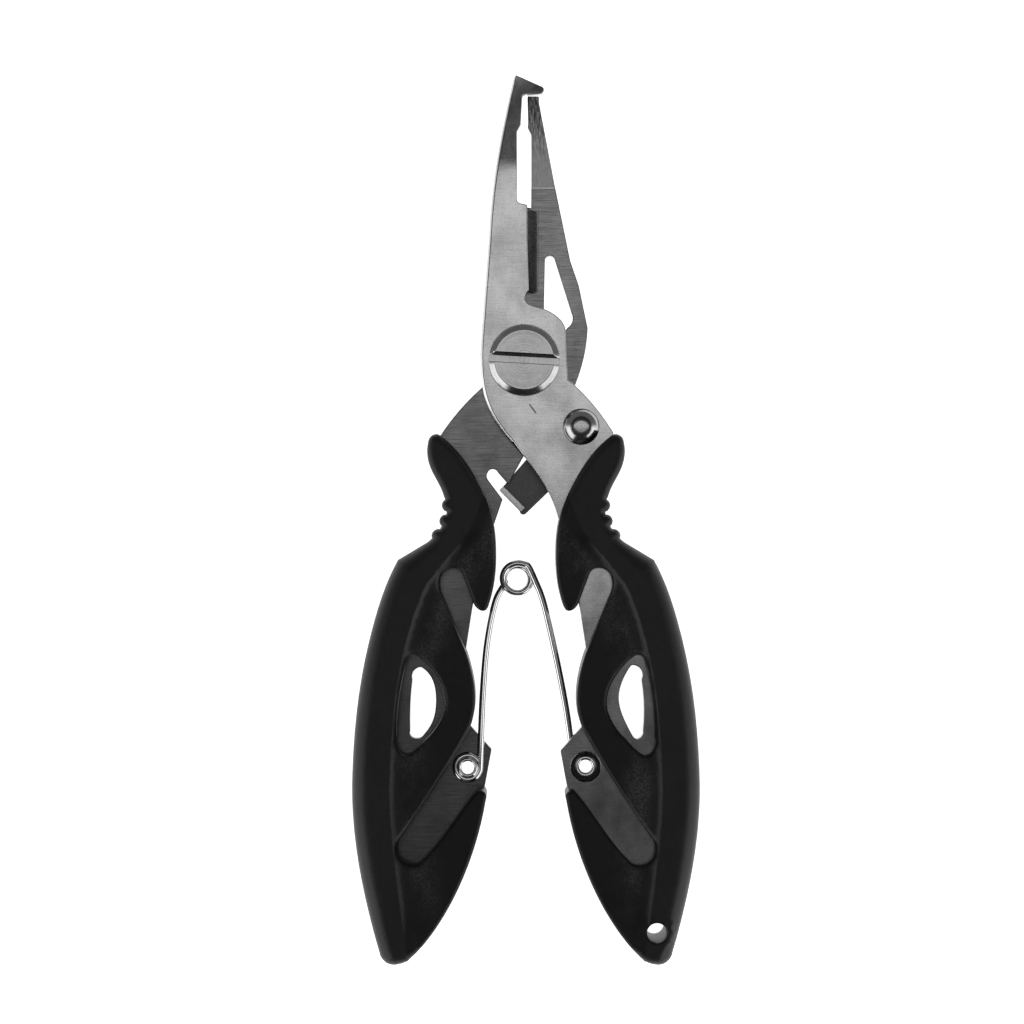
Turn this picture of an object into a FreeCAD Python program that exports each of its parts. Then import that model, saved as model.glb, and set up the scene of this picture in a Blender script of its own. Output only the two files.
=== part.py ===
import FreeCAD, Part
import math
import os

Vector = FreeCAD.Vector

# Fishing pliers, 125 mm long, lying closed on the backs of their grips. X runs across the two
# handles, Y from the handle ends to the jaw tips, Z up from the surface they lie on. The origin
# is on that surface, under the middle of the tool. All sizes are in millimetres.

# Layers of the tool from back to front
GRIP_DEPTH = 10.0
PLATE = 2.2
SHIM = 0.2
MID_Z = GRIP_DEPTH / 2
REAR_TOP = MID_Z - SHIM / 2
REAR_BACK = REAR_TOP - PLATE
FRONT_BACK = MID_Z + SHIM / 2
FRONT_TOP = FRONT_BACK + PLATE

# Both jaws bend to the middle of the tool: where each bend starts, its half length and the tip
FRONT_BEND = 49.5
FRONT_BEND_RUN = 1.4
FRONT_TIP = 63.0
REAR_BEND = 46.6
REAR_BEND_RUN = 0.3
REAR_TIP = 60.0
TOOL_END = -70.0
TOOL_SIDE = 40.0

# Ground bevel of the rear cutter: its sides in the plan, its depth at each, and its length
CUTTER_RIGHT = 1.65
CUTTER_LEFT = -2.0
CUTTER_SHALLOW = 0.45
CUTTER_DEEP = 1.3
CUTTER_START = 30.0
CUTTER_LENGTH = 20.0

# Pivot screw, its nut and the shim that keeps the two plates apart
PIVOT = Vector(-0.25, 22.25, 0)
SCREW_SHANK = 2.4
SCREW_HEAD = 5.0
SCREW_HEAD_FLAT = 4.2
SCREW_HEAD_HEIGHT = 1.6
SCREW_BEVEL = 0.6
SLOT_WIDTH = 1.0
SLOT_DEPTH = 0.8
SLOT_TURN = -3.2
NUT_ACROSS_FLATS = 8.0
NUT_HEIGHT = 1.6
RUNNING_GAP = 0.05

# Lock lever behind the rear plate, on a domed rivet through the front plate
LOCK_RIVET = Vector(7.75, 12.9, 0)
LOCK_SHANK = 1.2
LOCK_DOME = 2.55
LOCK_DOME_HEIGHT = 1.4
LOCK_TAIL = 2.0
LOCK_TAIL_HEIGHT = 0.5
LOCK_BUSH = 2.1
LOCK_PLATE = 1.0
LOCK_TOP = REAR_BACK - 0.2
LOCK_BACK = LOCK_TOP - LOCK_PLATE
LOCK_EYE = 2.9
LOCK_RELEASED = 9.0
TAB_TOP = REAR_TOP + 0.1

# Return spring of round wire, and the two hollow rivets that hold its eyes
WIRE = 0.95
COIL = Vector(-1.2, -8.6, 0)
COIL_RADIUS = 1.9
COIL_PITCH = 1.05
COIL_START = 200
COIL_SWEEP = 510
COIL_OPENING = 1.0
EYE_RADIUS = 1.7
LEFT_EYE = Vector(-8.2, -35.1, 0)
RIGHT_EYE = Vector(8.4, -34.9, 0)
EYE_GAP = 0.03
LEFT_EYE_Z = REAR_TOP + WIRE / 2 + EYE_GAP
RIGHT_EYE_Z = FRONT_BACK - WIRE / 2 - EYE_GAP
BARREL = 1.15
BARREL_BORE = 0.88
RIM_HEIGHT = 0.35
LEFT_RIM = 1.45
RIGHT_RIM = 1.6
BARREL_FLANGE = 2.0
FLANGE_HEIGHT = 0.5
EYE_SINK = 2.1
EYE_SINK_DEPTH = 1.2
LEFT_LEG = [(-6.35, -31.5), (-6.05, -24.5), (-5.45, -17.5), (-4.3, -11.8)]
RIGHT_LEG = [(6.4, -32.0), (5.6, -26.5), (4.2, -19.3), (2.5, -12.0), (1.3, -8.8)]

# Lanyard hole in the right grip, sunk inner face and finger ribs of both grips
LANYARD = Vector(18.3, -57.9, 0)
LANYARD_RADIUS = 1.4
LANYARD_COUNTERSINK = 0.3
SUNK_DEPTH = 1.0
RIB_RADIUS = 0.95
RIBS = [(10.85, 1.85), (11.2, -0.35), (12.3, -2.4)]

# Half of the tang hidden in the right-hand grip, from its outer shoulder round to its inner edge
TANG = [
    (12.4, 9.3),
    [(10.9, 5.5), (10.0, 1.5), (10.6, -2.0), (12.9, -4.8)],
    [(16.8, -8.2), (19.5, -14.5), (21.4, -24.0), (21.9, -34.0), (21.2, -43.0), (19.0, -50.5)],
    [(16.9, -53.0), (13.8, -52.6)],
    [(10.4, -48.3), (8.1, -43.5), (6.7, -40.0)],
    (5.8, -37.9),
    (4.9, -33.0),
    [(4.9, -32.6), (5.15, -32.3)],
    (7.9, -29.2),
    [(9.0, -26.5), (9.2, -22.5), (8.4, -18.1)],
    (7.4, -11.6),
    [(6.5, -7.5), (5.6, -3.6)],
]

# Head of the front lever: neck, left jaw up to its hook, down the jaw to the shoulder
FRONT_HEAD = [
    (4.45, 0.4),
    [(2.5, 4.9), (0.0, 8.4), (-3.7, 12.75), (-5.5, 16.1), (-6.4, 21.0), (-6.35, 24.9)],
    (-5.25, 39.2),
    [(-4.55, 47.3), (-3.65, 53.1), (-1.8, 62.0)],
    (-1.4, 62.5),
    (2.1, 60.95),
    [(2.55, 60.25), (2.1, 59.8)],
    (-0.2, 59.7),
    (-0.5, 59.45),
    (-0.7, 55.4),
    (-1.25, 54.4),
    (-1.25, 45.0),
    [(-1.1, 44.5), (-0.6, 44.3)],
    (0.2, 44.1),
    (0.2, 39.2),
    (0.4, 32.1),
    [(-0.15, 31.1), (0.5, 30.1)],
    [(1.4, 29.8), (2.7, 29.4), (4.0, 28.7), (5.0, 27.8), (5.6, 25.9)],
    (5.9, 19.5),
    (6.95, 18.7),
    [(9.5, 16.0), (12.3, 12.1)],
]

# Head of the rear lever: lock notch, right jaw, hidden cutter, down to the left shoulder
REAR_HEAD = [
    (-4.55, -1.0),
    (-3.3, 2.7),
    (-5.45, 5.6),
    [(-5.5, 6.3), (-4.95, 6.95), (-4.3, 6.9), (-3.95, 6.5)],
    (-2.5, 4.85),
    (-0.35, 8.75),
    [(2.5, 12.1), (5.1, 15.4), (6.95, 18.75)],
    [(7.85, 21.3), (8.4, 23.6), (8.75, 26.9)],
    (7.5, 32.9),
    (6.3, 36.4),
    (4.2, 46.6),
    (1.85, 58.7),
    (1.85, 59.5),
    (0.2, 59.5),
    (0.3, 55.6),
    (0.2, 55.3),
    (0.75, 54.1),
    (0.75, 43.9),
    (-0.9, 44.3),
    (-0.9, 32.5),
    [(-2.6, 29.7), (-4.6, 27.9), (-5.5, 25.6)],
    (-5.8, 19.0),
    (-6.3, 18.45),
    [(-9.1, 15.65), (-12.25, 11.5)],
]

# Triangular relief hole in the right jaw
JAW_HOLE = [
    (6.6, 28.6),
    [(6.5, 27.7), (5.9, 27.0)],
    [(4.4, 26.2), (2.9, 27.0), (2.55, 28.8)],
    (2.7, 36.4),
    [(3.4, 37.15), (4.1, 36.5)],
]

# Edge of the right grip, from the top of its neck clockwise round the outside
GRIP_OUTSIDE = [
    [(13.1, 11.7), (13.7, 10.7)],
    [(13.85, 9.2), (13.3, 6.9), (12.3, 5.0), (11.5, 3.1)],
    [(11.1, 1.0), (11.9, -1.2), (13.8, -3.3)],
    (18.0, -5.8),
    [(19.1, -8.0), (21.3, -14.3), (23.5, -24.8), (24.4, -35.4)],
    [(23.9, -46.0), (22.3, -54.5), (20.6, -60.8)],
    [(20.1, -61.9), (19.2, -62.5), (18.0, -62.5), (16.6, -62.0)],
    [(12.1, -56.6), (9.0, -50.8), (6.9, -45.0), (5.6, -39.3)],
    [(5.75, -38.3), (6.7, -38.0)],
]

# The open lower window, the bulge over the middle of the tang, and the open upper window
GRIP_INSIDE = [
    [(9.9, -42.2), (13.0, -46.4), (14.7, -48.2)],
    [(16.2, -48.6), (17.6, -47.7), (18.1, -46.1), (17.4, -44.5)],
    [(13.6, -38.8), (9.5, -32.2), (7.9, -29.4)],
    [(7.2, -26.8), (7.3, -22.9), (8.3, -18.9)],
    (11.9, -10.3),
    [(12.1, -8.9), (11.5, -7.4), (10.1, -6.9), (9.0, -7.5)],
    (7.5, -11.4),
    [(7.0, -12.4), (6.1, -12.95), (5.2, -12.1)],
    [(4.4, -8.6), (4.2, -4.6), (4.7, 0.0), (6.8, 5.2), (9.1, 8.8), (12.2, 11.8)],
]

# Plan of the ground bevel on the rear cutter
BEVEL_EDGE = [
    (CUTTER_RIGHT, 43.4),
    (0.0, 44.2),
    (CUTTER_LEFT, 44.6),
    (CUTTER_LEFT, 31.8),
    (0.9, 31.8),
    [(1.45, 32.1), (CUTTER_RIGHT, 32.7)],
]

# Inner part of the grip's faces, which is sunk below the crest that runs down the grip
SUNK_AREA = [
    [(6.0, 3.0), (8.2, -2.0), (12.4, -7.3)],
    [(15.0, -11.7), (17.8, -22.4), (19.0, -37.0), (18.3, -48.0), (16.7, -60.3)],
    (14.5, -64.0),
    (0.0, -64.0),
    (0.0, 0.0),
]

# Eye through each tang, and the wider opening in the grip round it
FRONT_EYE = [
    [(14.1, -21.7), (13.05, -25.3), (13.9, -28.4), (15.1, -30.7)],
    [(15.6, -31.0), (16.2, -30.7), (16.45, -29.8)],
    [(16.6, -27.0), (16.25, -22.7)],
    [(15.7, -20.8), (14.8, -20.6)],
]
REAR_EYE = [
    [(-13.3, -22.6), (-12.7, -25.6), (-13.1, -28.4), (-14.4, -30.5)],
    [(-15.5, -31.1), (-16.1, -30.9), (-16.35, -29.9)],
    [(-16.35, -26.5), (-16.05, -22.8)],
    [(-15.6, -21.3), (-14.8, -21.0)],
]
GRIP_EYE = [
    [(12.6, -22.0), (11.3, -25.9), (12.1, -28.5), (14.1, -31.0)],
    [(15.6, -32.6), (17.0, -33.2), (17.9, -32.3), (18.1, -30.5)],
    [(17.6, -24.0), (16.7, -19.9)],
    [(16.2, -19.2), (15.1, -19.3)],
]

# Lock lever in its locked place: an arm from the eye to the tab that drops into the notch
LOCK_ARM = [
    (-5.0, 5.9),
    (-2.6, 2.65),
    [(-2.45, 2.1), (-1.8, 2.05)],
    (2.4, 5.0),
    (9.2, 10.4),
    (6.0, 15.2),
    (-4.35, 6.4),
]
LOCK_TAB = [(-5.0, 5.9), (-2.45, 2.45), (-1.8, 2.9), (-4.35, 6.4)]


def closed_face(steps):
    """Face inside an outline that ends where it starts.

    A pair is a straight side to that point, and a list is an arc or a smooth curve through its points.
    """
    last = steps[-1]
    here = Vector(*(last[-1] if isinstance(last, list) else last))
    edges = []
    for step in steps:
        points = [here] + [Vector(*p) for p in (step if isinstance(step, list) else [step])]
        if len(points) == 2:
            edges.append(Part.makeLine(*points))
        elif len(points) == 3:
            edges.append(Part.Arc(*points).toShape())
        else:
            curve = Part.BSplineCurve()
            curve.interpolate(points)
            edges.append(curve.toShape())
        here = points[-1]
    return Part.Face(Part.Wire(edges))


def slab(steps, low, high):
    """Flat plate with the given outline between two heights."""
    return closed_face(steps).translated(Vector(0, 0, low)).extrude(Vector(0, 0, high - low))


def mirrored(steps):
    """The same outline on the other side of the tool."""
    return [[(-x, y) for x, y in s] if isinstance(s, list) else (-s[0], s[1]) for s in steps]


def disc(centre, radius, low, high):
    return Part.makeCylinder(radius, high - low, Vector(centre.x, centre.y, low))


def ring(centre, outer, inner, low, high):
    return disc(centre, outer, low, high).cut(disc(centre, inner, low, high))


def bend(corner, before, after, run):
    """Corner of a side profile rounded to an arc, as its start, its edge and its end."""
    start = corner + (before - corner).normalize() * run
    end = corner + (after - corner).normalize() * run
    middle = (start + end) * 0.25 + corner * 0.5
    return start, Part.Arc(start, middle, end).toShape(), end


def side_profile(back, top, bend_y, bend_run, tip_y):
    """Solid of a lever seen from the side: level plate, with a jaw bent to the middle of the tool."""
    tip_back = MID_Z - PLATE / 2
    places = [(TOOL_END, back), (bend_y, back), (tip_y, tip_back)]
    places += [(tip_y, tip_back + PLATE), (bend_y, top), (TOOL_END, top)]
    a, b, c, d, e, f = [Vector(-TOOL_SIDE, y, z) for y, z in places]
    back_start, back_bend, back_end = bend(b, a, c, bend_run)
    top_start, top_bend, top_end = bend(e, d, f, bend_run)
    edges = [Part.makeLine(a, back_start), back_bend, Part.makeLine(back_end, c), Part.makeLine(c, d)]
    edges += [Part.makeLine(d, top_start), top_bend, Part.makeLine(top_end, f), Part.makeLine(f, a)]
    return Part.Face(Part.Wire(edges)).extrude(Vector(2 * TOOL_SIDE, 0, 0))


def lever(steps, profile):
    """Stamped plate: its outline where it crosses its side profile."""
    return slab(steps, -1, GRIP_DEPTH + 1).common(profile)


def cutter_bevel():
    """Ground bevel along the rear plate's cutter, deepest at its hidden edge."""
    corners = [
        (CUTTER_RIGHT, REAR_TOP),
        (CUTTER_RIGHT, REAR_TOP - CUTTER_SHALLOW),
        (CUTTER_LEFT, REAR_TOP - CUTTER_DEEP),
        (CUTTER_LEFT, REAR_TOP),
        (CUTTER_RIGHT, REAR_TOP),
    ]
    section = Part.makePolygon([Vector(x, CUTTER_START, z) for x, z in corners])
    wedge = Part.Face(section).extrude(Vector(0, CUTTER_LENGTH, 0))
    return wedge.common(slab(BEVEL_EDGE, REAR_BACK, REAR_TOP))


def make_front_lever():
    profile = side_profile(FRONT_BACK, FRONT_TOP, FRONT_BEND, FRONT_BEND_RUN, FRONT_TIP)
    body = lever(TANG + FRONT_HEAD, profile)
    body = body.cut(disc(PIVOT, SCREW_SHANK, FRONT_BACK, FRONT_TOP))
    body = body.cut(disc(LOCK_RIVET, LOCK_SHANK, FRONT_BACK, FRONT_TOP))
    body = body.cut(disc(RIGHT_EYE, BARREL, FRONT_BACK, FRONT_TOP))
    body = body.cut(disc(RIGHT_EYE, EYE_SINK, FRONT_TOP - EYE_SINK_DEPTH, FRONT_TOP))
    return body.cut(slab(FRONT_EYE, FRONT_BACK, FRONT_TOP))


def make_rear_lever():
    profile = side_profile(REAR_BACK, REAR_TOP, REAR_BEND, REAR_BEND_RUN, REAR_TIP)
    body = lever(mirrored(TANG) + REAR_HEAD, profile)
    body = body.cut(disc(PIVOT, SCREW_SHANK + RUNNING_GAP, REAR_BACK, REAR_TOP))
    body = body.cut(disc(LEFT_EYE, BARREL, REAR_BACK, REAR_TOP))
    body = body.cut(slab(JAW_HOLE, REAR_BACK, REAR_TOP))
    body = body.cut(cutter_bevel())
    return body.cut(slab(REAR_EYE, REAR_BACK, REAR_TOP))


def make_pivot_screw():
    head_top = FRONT_TOP + SCREW_HEAD_HEIGHT
    bevel_low = head_top - SCREW_BEVEL
    head = disc(PIVOT, SCREW_HEAD, FRONT_TOP, bevel_low)
    bevel = Part.makeCone(SCREW_HEAD, SCREW_HEAD_FLAT, SCREW_BEVEL, Vector(PIVOT.x, PIVOT.y, bevel_low))
    shank = disc(PIVOT, SCREW_SHANK, REAR_BACK - NUT_HEIGHT, FRONT_TOP)
    slot_corner = Vector(-1.5 * SCREW_HEAD, -SLOT_WIDTH / 2, 0)
    slot = Part.makeBox(3 * SCREW_HEAD, SLOT_WIDTH, SLOT_DEPTH + 1, slot_corner)
    slot.rotate(Vector(0, 0, 0), Vector(0, 0, 1), SLOT_TURN)
    slot.translate(Vector(PIVOT.x, PIVOT.y, head_top - SLOT_DEPTH))
    return head.fuse([bevel, shank]).removeSplitter().cut(slot)


def make_pivot_nut():
    corner = NUT_ACROSS_FLATS / math.sqrt(3)
    angles = [math.radians(60 * i) for i in range(7)]
    corners = [Vector(corner * math.cos(a), corner * math.sin(a), 0) for a in angles]
    nut = Part.Face(Part.makePolygon(corners)).extrude(Vector(0, 0, NUT_HEIGHT))
    nut.translate(Vector(PIVOT.x, PIVOT.y, REAR_BACK - NUT_HEIGHT))
    return nut.cut(disc(PIVOT, SCREW_SHANK, 0, REAR_BACK))


def make_pivot_shim():
    return ring(PIVOT, SCREW_HEAD, SCREW_SHANK, REAR_TOP, FRONT_BACK)


def make_lock_rivet():
    ball = (LOCK_DOME**2 + LOCK_DOME_HEIGHT**2) / (2 * LOCK_DOME_HEIGHT)
    centre = Vector(LOCK_RIVET.x, LOCK_RIVET.y, FRONT_TOP + LOCK_DOME_HEIGHT - ball)
    dome = Part.makeSphere(ball, centre).common(disc(LOCK_RIVET, LOCK_DOME, FRONT_TOP, GRIP_DEPTH))
    shank = disc(LOCK_RIVET, LOCK_SHANK, LOCK_BACK, FRONT_TOP)
    tail = disc(LOCK_RIVET, LOCK_TAIL, LOCK_BACK - LOCK_TAIL_HEIGHT, LOCK_BACK)
    return dome.fuse([shank, tail]).removeSplitter()


def make_lock_bush():
    return ring(LOCK_RIVET, LOCK_BUSH, LOCK_SHANK, LOCK_TOP, FRONT_BACK)


def make_lock_lever():
    """Arm, eye and upright tab, turned from the locked place to the released place."""
    arm = slab(LOCK_ARM, LOCK_BACK, LOCK_TOP).fuse(disc(LOCK_RIVET, LOCK_EYE, LOCK_BACK, LOCK_TOP))
    body = arm.fuse(slab(LOCK_TAB, LOCK_BACK, TAB_TOP)).removeSplitter()
    body = body.cut(disc(LOCK_RIVET, LOCK_SHANK + RUNNING_GAP, LOCK_BACK, LOCK_TOP))
    body.rotate(LOCK_RIVET, Vector(0, 0, 1), LOCK_RELEASED)
    return body


def eye_turn(centre, height, first, last):
    """Points round an eye of the spring, every 30 degrees from one angle to another."""
    step = 30 if last > first else -30
    angles = [math.radians(a) for a in range(first, last + step, step)]
    return [Vector(centre.x + EYE_RADIUS * math.cos(a), centre.y + EYE_RADIUS * math.sin(a), height)
            for a in angles]


def coil_turns():
    """One and a half clockwise turns that climb from the left leg to the right leg and open at the end."""
    points = []
    for turned in range(0, COIL_SWEEP + 1, 30):
        angle = math.radians(COIL_START - turned)
        radius = COIL_RADIUS + COIL_OPENING * max(0, turned - 330) / 360
        height = MID_Z + COIL_PITCH * (turned - COIL_SWEEP / 2) / 360
        points.append(COIL + Vector(radius * math.cos(angle), radius * math.sin(angle), height))
    return points


def leg(places, eye_height, coil_height):
    """A leg of the spring, listed from its eye: it stays at the eye's height past the plate, then slopes."""
    slope = (coil_height - eye_height) / len(places)
    return [Vector(x, y, eye_height + slope * i) for i, (x, y) in enumerate(places)]


def make_return_spring():
    coil = coil_turns()
    left = eye_turn(LEFT_EYE, LEFT_EYE_Z, 30, 360) + leg(LEFT_LEG, LEFT_EYE_Z, coil[0].z)
    right = eye_turn(RIGHT_EYE, RIGHT_EYE_Z, 150, -180) + leg(RIGHT_LEG, RIGHT_EYE_Z, coil[-1].z)
    points = left + coil + right[::-1]
    lengths = [0.0]
    for here, there in zip(points, points[1:]):
        lengths.append(lengths[-1] + here.distanceToPoint(there))
    curve = Part.BSplineCurve()
    curve.interpolate(Points=points, Parameters=lengths)
    path = Part.Wire(curve.toShape())
    section = Part.Wire(Part.makeCircle(WIRE / 2, path.Vertexes[0].Point, curve.tangent(0)[0]))
    return path.makePipeShell([section], True, True)


def hollow_rivet(centre, flange_top, rim, rim_low):
    """Tube with a flange behind what it holds and a rolled rim in front of it."""
    flange = disc(centre, BARREL_FLANGE, flange_top - FLANGE_HEIGHT, flange_top)
    tube = disc(centre, BARREL, flange_top, rim_low)
    lip = disc(centre, rim, rim_low, rim_low + RIM_HEIGHT)
    body = tube.fuse([flange, lip]).removeSplitter()
    return body.cut(disc(centre, BARREL_BORE, 0, GRIP_DEPTH))


def make_spring_rivet_left():
    return hollow_rivet(LEFT_EYE, REAR_BACK, LEFT_RIM, LEFT_EYE_Z + WIRE / 2 + EYE_GAP)


def make_spring_rivet_right():
    return hollow_rivet(RIGHT_EYE, RIGHT_EYE_Z - WIRE / 2 - EYE_GAP, RIGHT_RIM, FRONT_TOP - EYE_SINK_DEPTH)


def finger_ribs():
    return [disc(Vector(x, y, 0), RIB_RADIUS, 0, GRIP_DEPTH) for x, y in RIBS]


def grip_blank():
    """Right-hand grip before its tang slot: outline, finger ribs and the opening round the eye."""
    body = slab(GRIP_OUTSIDE + GRIP_INSIDE, 0, GRIP_DEPTH)
    body = body.fuse(finger_ribs()).removeSplitter()
    body = body.cut(slab(SUNK_AREA, GRIP_DEPTH - SUNK_DEPTH, GRIP_DEPTH))
    body = body.cut(slab(SUNK_AREA, 0, SUNK_DEPTH))
    return body.cut(slab(GRIP_EYE, 0, GRIP_DEPTH))


def lanyard_hole():
    """Straight hole through the grip with a small countersink at both faces."""
    wide = LANYARD_RADIUS + LANYARD_COUNTERSINK
    sink = Part.makeCone(LANYARD_RADIUS, wide, LANYARD_COUNTERSINK)
    front_sink = sink.translated(LANYARD + Vector(0, 0, GRIP_DEPTH - LANYARD_COUNTERSINK))
    back_sink = sink.mirror(Vector(0, 0, 0), Vector(0, 0, 1))
    back_sink.translate(LANYARD + Vector(0, 0, LANYARD_COUNTERSINK))
    return disc(LANYARD, LANYARD_RADIUS, 0, GRIP_DEPTH).fuse([front_sink, back_sink])


def make_grip_right(front_lever):
    return grip_blank().cut(front_lever).cut(lanyard_hole())


def make_grip_left(rear_lever):
    return grip_blank().mirror(Vector(0, 0, 0), Vector(1, 0, 0)).cut(rear_lever)


os.makedirs("parts", exist_ok=True)
front_lever = make_front_lever()
rear_lever = make_rear_lever()
nodes = {
    "front_lever": front_lever,
    "rear_lever": rear_lever,
    "pivot_screw": make_pivot_screw(),
    "pivot_nut": make_pivot_nut(),
    "pivot_shim": make_pivot_shim(),
    "lock_lever": make_lock_lever(),
    "lock_rivet": make_lock_rivet(),
    "lock_bush": make_lock_bush(),
    "return_spring": make_return_spring(),
    "spring_rivet_left": make_spring_rivet_left(),
    "spring_rivet_right": make_spring_rivet_right(),
    "grip_left": make_grip_left(rear_lever),
    "grip_right": make_grip_right(front_lever),
}
for name, shape in nodes.items():
    shape.exportStep(f"parts/{name}.step")
    box = shape.BoundBox
    print(f"{name:18s} solids {len(shape.Solids)} valid {shape.isValid()} volume {shape.Volume:8.1f} mm3 "
          f"x {box.XMin:.2f}..{box.XMax:.2f} y {box.YMin:.2f}..{box.YMax:.2f} z {box.ZMin:.2f}..{box.ZMax:.2f}")
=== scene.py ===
# %% [markdown]
# # Fishing pliers
# Two stamped steel levers cross on a slotted pivot screw. Black moulded grips cover their tangs, a
# bent wire spring pushes the handles apart and a small lever locks the tool shut. The plates, pins
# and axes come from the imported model, and this script gives every piece its finished shape and its
# finish. All sizes are in metres, and MM turns a millimetre into them.

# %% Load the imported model
import math

import bmesh
import bpy
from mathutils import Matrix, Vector
from mathutils.bvhtree import BVHTree
from mathutils.geometry import delaunay_2d_cdt
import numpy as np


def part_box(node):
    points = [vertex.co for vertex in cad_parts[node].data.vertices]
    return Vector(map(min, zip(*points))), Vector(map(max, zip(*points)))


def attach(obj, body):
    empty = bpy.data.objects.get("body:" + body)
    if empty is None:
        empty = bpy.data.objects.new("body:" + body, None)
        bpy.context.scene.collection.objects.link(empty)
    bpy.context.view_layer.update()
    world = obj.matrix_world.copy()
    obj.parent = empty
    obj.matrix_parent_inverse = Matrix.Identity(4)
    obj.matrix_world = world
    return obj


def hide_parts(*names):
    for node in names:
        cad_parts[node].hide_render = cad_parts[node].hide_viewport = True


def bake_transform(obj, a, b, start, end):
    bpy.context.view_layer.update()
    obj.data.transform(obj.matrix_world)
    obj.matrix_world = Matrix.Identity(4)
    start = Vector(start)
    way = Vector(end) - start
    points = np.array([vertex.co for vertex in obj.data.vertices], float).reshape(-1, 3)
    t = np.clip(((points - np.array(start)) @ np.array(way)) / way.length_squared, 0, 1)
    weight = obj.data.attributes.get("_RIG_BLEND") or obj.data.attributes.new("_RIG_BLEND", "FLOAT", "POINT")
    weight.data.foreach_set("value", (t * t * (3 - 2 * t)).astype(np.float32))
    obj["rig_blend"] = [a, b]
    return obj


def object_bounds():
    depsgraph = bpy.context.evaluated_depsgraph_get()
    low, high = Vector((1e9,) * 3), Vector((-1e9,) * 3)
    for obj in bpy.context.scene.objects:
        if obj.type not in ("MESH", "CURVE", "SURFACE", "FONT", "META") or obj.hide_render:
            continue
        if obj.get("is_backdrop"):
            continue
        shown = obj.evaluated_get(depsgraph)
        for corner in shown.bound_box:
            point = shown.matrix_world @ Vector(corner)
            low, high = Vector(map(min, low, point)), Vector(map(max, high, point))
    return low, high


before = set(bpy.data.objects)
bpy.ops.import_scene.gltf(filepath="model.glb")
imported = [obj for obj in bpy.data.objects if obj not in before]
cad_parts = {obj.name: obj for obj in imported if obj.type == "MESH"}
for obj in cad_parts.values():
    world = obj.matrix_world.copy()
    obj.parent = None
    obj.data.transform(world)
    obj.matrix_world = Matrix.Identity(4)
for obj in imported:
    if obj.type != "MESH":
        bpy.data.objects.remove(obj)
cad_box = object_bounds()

MM = 0.001
MERGE = 0.001 * MM

# %% [markdown]
# ## Shader maths
# A finish is easier to read as an expression than as a web of nodes. One small class wraps a
# socket: its operators add Math nodes, and its node method adds any other node.

# %% A socket that does arithmetic
class Link:
    """A node socket. Arithmetic on it adds Math nodes to its tree."""

    def __init__(self, tree, socket):
        self.tree = tree
        self.socket = socket

    def node(self, kind, settings, values, output=0):
        """Add a node of this type, set its settings first, then fill or link its sockets."""
        return add_node(self.tree, kind, settings, values, output)

    def math(self, operation, *others):
        return self.node("ShaderNodeMath", {"operation": operation}, dict(enumerate((self, *others))))

    def __add__(self, other):
        return self.math("ADD", other)

    def __sub__(self, other):
        return self.math("SUBTRACT", other)

    def __mul__(self, other):
        return self.math("MULTIPLY", other)

    def __truediv__(self, other):
        return self.math("DIVIDE", other)

    def __rsub__(self, other):
        return self * -1 + other

    def smooth(self, low, high):
        """0 below low, 1 above high and a smooth step between them."""
        names = {"Value": self, "From Min": low, "From Max": high}
        return self.node("ShaderNodeMapRange", {"interpolation_type": "SMOOTHSTEP"}, names)


def add_node(tree, kind, settings, values, output=0):
    """One node in a tree. Its settings come first, because some of them change its sockets."""
    made = tree.nodes.new(kind)
    for name, setting in settings.items():
        setattr(made, name, setting)
    for name, value in values.items():
        if isinstance(value, Link):
            tree.links.new(value.socket, made.inputs[name])
        else:
            made.inputs[name].default_value = value
    return Link(tree, made.outputs[output])


# %% Patterns that several finishes share
def stretched(place, x, y, z):
    """Coordinates multiplied along each axis, which sets the grain's size and direction."""
    return place.node("ShaderNodeVectorMath", {"operation": "MULTIPLY"}, {0: place, 1: (x, y, z)})


def grain(place, x, y, z, detail=2.0):
    """Noise from 0 to 1 with the given number of features per metre along each axis."""
    names = {"Vector": stretched(place, x, y, z), "Scale": 1.0, "Detail": detail, "Roughness": 0.6}
    return place.node("ShaderNodeTexNoise", {}, names, "Fac")


def blend_colour(mask, dark, light):
    """Grey between two brightnesses."""
    colours = [(c, c, c, 1.0) for c in (dark, light)]
    return mask.node("ShaderNodeMix", {"data_type": "RGBA"}, {0: mask, 6: colours[0], 7: colours[1]}, 2)


def raised(height, depth):
    """Normal of a surface whose height runs over this depth in metres."""
    return height.node("ShaderNodeBump", {}, {"Height": height, "Distance": depth}, "Normal")


def finish(name, recipe, **uniform):
    """Material from a recipe of varying inputs and from inputs that are the same all over."""
    material = bpy.data.materials.new(name)
    material.use_nodes = True
    tree = material.node_tree
    shader = tree.nodes["Principled BSDF"]
    place = add_node(tree, "ShaderNodeTexCoord", {}, {}, "Object")
    for socket, value in uniform.items():
        shader.inputs[socket.replace("_", " ")].default_value = value
    for socket, link in recipe(place).items():
        tree.links.new(link.socket, shader.inputs[socket])
    print(f"finish {name}: {len(tree.nodes)} nodes")
    return material


def apart(place):
    """The three coordinates as separate values."""
    separate = place.node("ShaderNodeSeparateXYZ", {}, {"Vector": place})
    return [Link(separate.tree, s) for s in separate.socket.node.outputs]
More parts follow.
